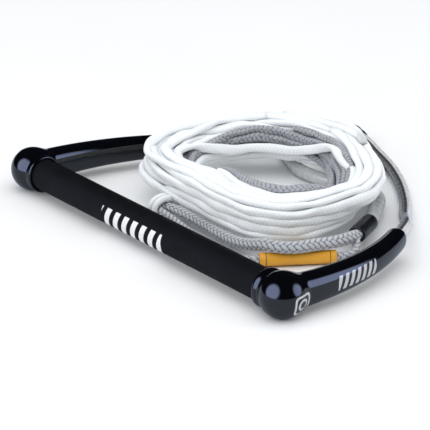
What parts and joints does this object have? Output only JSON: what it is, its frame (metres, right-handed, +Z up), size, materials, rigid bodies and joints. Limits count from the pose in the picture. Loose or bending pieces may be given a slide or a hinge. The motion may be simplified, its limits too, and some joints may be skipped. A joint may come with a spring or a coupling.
{
  "type": "tow rope handle",
  "caption": "Tow handle with a padded straight grip, moulded end arms, coated rope bridle, braided eye, tag sleeve and a coiled main line.",
  "frame": {"origin": "on the table under the middle of the whole object's box", "axes": "+X along the grip towards the right arm, +Y from the grip towards the rope, +Z up from the table"},
  "size_m": [0.3852, 0.3332, 0.0555],
  "materials": {
    "grip": "matte moulded foam rubber with a fine pebbled texture",
    "bare_aluminium": "drawn tube and swaged stops, bare",
    "foam": "closed-cell flotation foam",
    "moulded_arm": "polished black moulding",
    "black_plastic": "plain moulding",
    "steel": "stainless screw",
    "dark_braid": "hard-laid dark rope core",
    "clear_jacket": "milky translucent coating on the rope",
    "grey_jacket": "light grey coating on the rope",
    "shrink_sleeve": "heat-shrunk black sleeve",
    "grey_braid": "coarse braided grey rope",
    "white_rope": "fine braided white rope, lying flat",
    "label": "amber sleeve with plain rules printed on it"
  },
  "bodies": {
    "line": {"yoke_sleeve": "shrink_sleeve", "end_sleeve": "shrink_sleeve", "section_core": "dark_braid", "section_jacket": "grey_jacket", "eye_loop": "grey_braid", "lead_loop": "white_rope", "first_takeoff_rope": "grey_braid", "second_takeoff_rope": "grey_braid", "main_line": "white_rope", "boat_end_loop": "white_rope", "right_bridle_core": "dark_braid", "right_bridle_jacket": "clear_jacket", "left_bridle_core": "dark_braid", "left_bridle_jacket": "clear_jacket"},
    "handle": {"grip_sleeve": "grip", "bar_tube": "bare_aluminium", "bar_foam_core": "foam", "right_arm": "moulded_arm", "right_end_plug": "black_plastic", "right_lock_screw": "steel", "right_rope_stop": "bare_aluminium", "right_tail_core": "dark_braid", "right_tail_jacket": "clear_jacket", "left_arm": "moulded_arm", "left_end_plug": "black_plastic", "left_lock_screw": "steel", "left_rope_stop": "bare_aluminium", "left_tail_core": "dark_braid", "left_tail_jacket": "clear_jacket"},
    "label": {"label_sleeve": "label"}
  },
  "joints": [
    {"name": "handle_swing", "type": "hinge", "parent": "line", "child": "handle", "pos_m": [0, 0.01166, 0.018], "axis": [-1, 0, 0], "range_deg": [0, 100]},
    {"name": "label_turn", "type": "hinge", "parent": "line", "child": "label", "pos_m": [0.101, -0.07356, 0.0058], "axis": [-0.5098, -0.8603, 0], "continuous": true}
  ]
}
